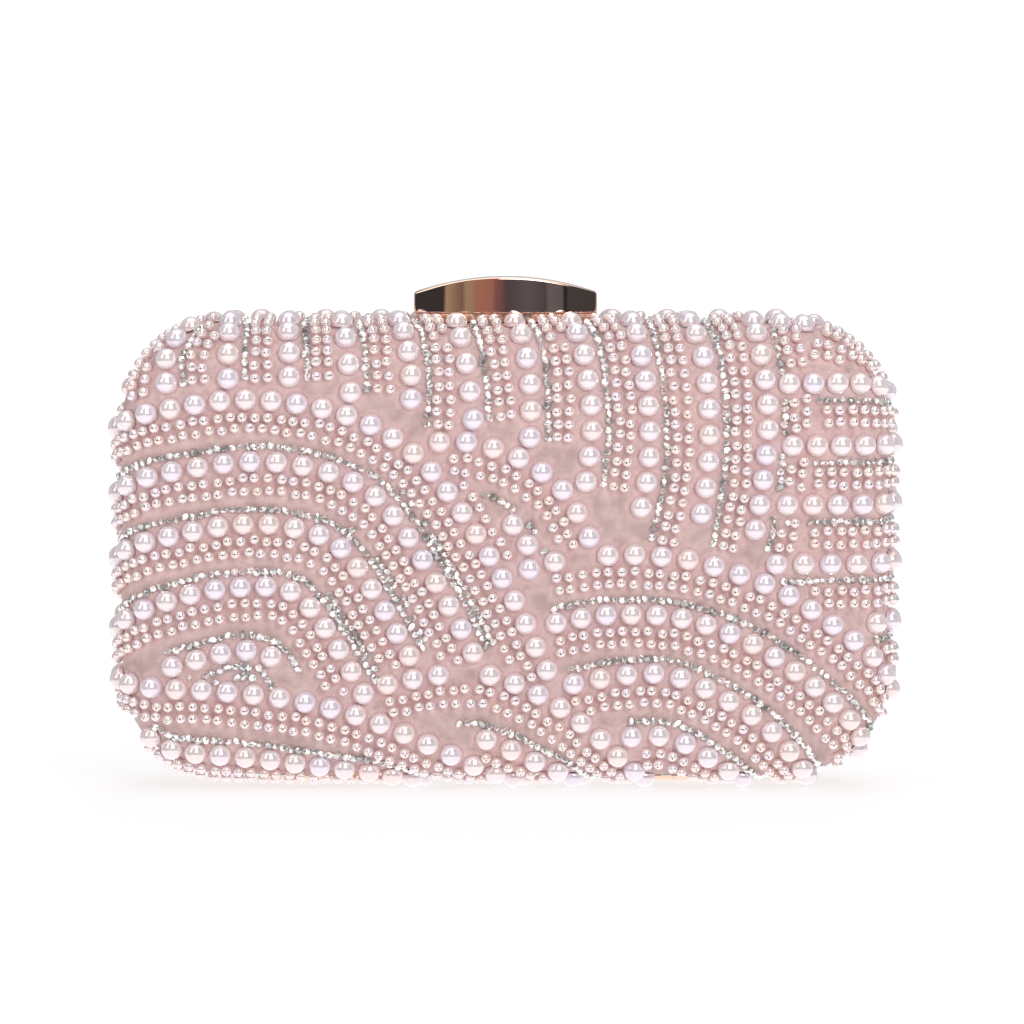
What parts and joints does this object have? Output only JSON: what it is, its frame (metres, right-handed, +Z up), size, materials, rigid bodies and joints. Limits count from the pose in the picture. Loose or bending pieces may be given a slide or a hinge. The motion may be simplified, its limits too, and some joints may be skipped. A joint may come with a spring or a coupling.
{
  "type": "evening bag",
  "caption": "Hard-shell box evening bag with rounded corners, base hinge, push-down top clasp and rows of flat-backed pearls, small beads and stones.",
  "frame": {"origin": "on the ground plane, under the middle of the closed bag", "axes": "+X is the bag's width, the front face looks along -Y, +Z is up"},
  "size_m": [0.2058, 0.055, 0.1324],
  "materials": {
    "velvet": "matte",
    "board": "matte",
    "foam": "matte",
    "satin": "satin",
    "rose_metal": "polished",
    "steel": "satin",
    "pearl": "pearlescent",
    "small_pearl": "pearlescent",
    "crystal": "faceted"
  },
  "bodies": {
    "rear_half": {"rear_shell": "board", "rear_cover": "velvet", "rear_padding": "foam", "rear_lining": "satin", "rear_frame": "rose_metal", "slip_pocket": "satin", "rear_hinge_leaves": "rose_metal", "hinge_pins": "steel", "rear_hinge_rivets": "steel", "clasp_base": "rose_metal", "clasp_springs": "steel", "clasp_screws": "steel", "chain_loop_left": "rose_metal", "chain_loop_right": "rose_metal", "chain_loop_rivets": "steel", "rear_large_pearls_left": "pearl", "rear_large_pearls_right": "pearl", "rear_base_pearls": "pearl", "rear_small_pearls_upper_left": "small_pearl", "rear_small_pearls_upper_right": "small_pearl", "rear_small_pearls_lower_left": "small_pearl", "rear_small_pearls_lower_right": "small_pearl", "rear_stones": "crystal"},
    "front_half": {"front_shell": "board", "front_cover": "velvet", "front_padding": "foam", "front_lining": "satin", "front_frame": "rose_metal", "front_hinge_leaves": "rose_metal", "front_hinge_rivets": "steel", "front_large_pearls_left": "pearl", "front_large_pearls_right": "pearl", "front_base_pearls": "pearl", "front_small_pearls_upper_left": "small_pearl", "front_small_pearls_upper_right": "small_pearl", "front_small_pearls_lower_left": "small_pearl", "front_small_pearls_lower_right": "small_pearl", "front_stones": "crystal", "clasp_keeper": "steel", "keeper_rivets": "steel"},
    "clasp_button": {"clasp_cap": "rose_metal", "clasp_posts": "steel", "clasp_hook": "steel", "post_clips": "steel"}
  },
  "joints": [
    {"name": "case_hinge", "type": "hinge", "parent": "rear_half", "child": "front_half", "pos_m": [0, 0, 0.00185], "axis": [1, 0, 0], "range_deg": [0, 90]},
    {"name": "clasp_press", "type": "slide", "parent": "rear_half", "child": "clasp_button", "axis": [0, 0, -1], "range_m": [0, 0.002], "stiffness_N_per_m": 600, "springref_m": -0.001, "deforming": ["clasp_springs"]}
  ]
}
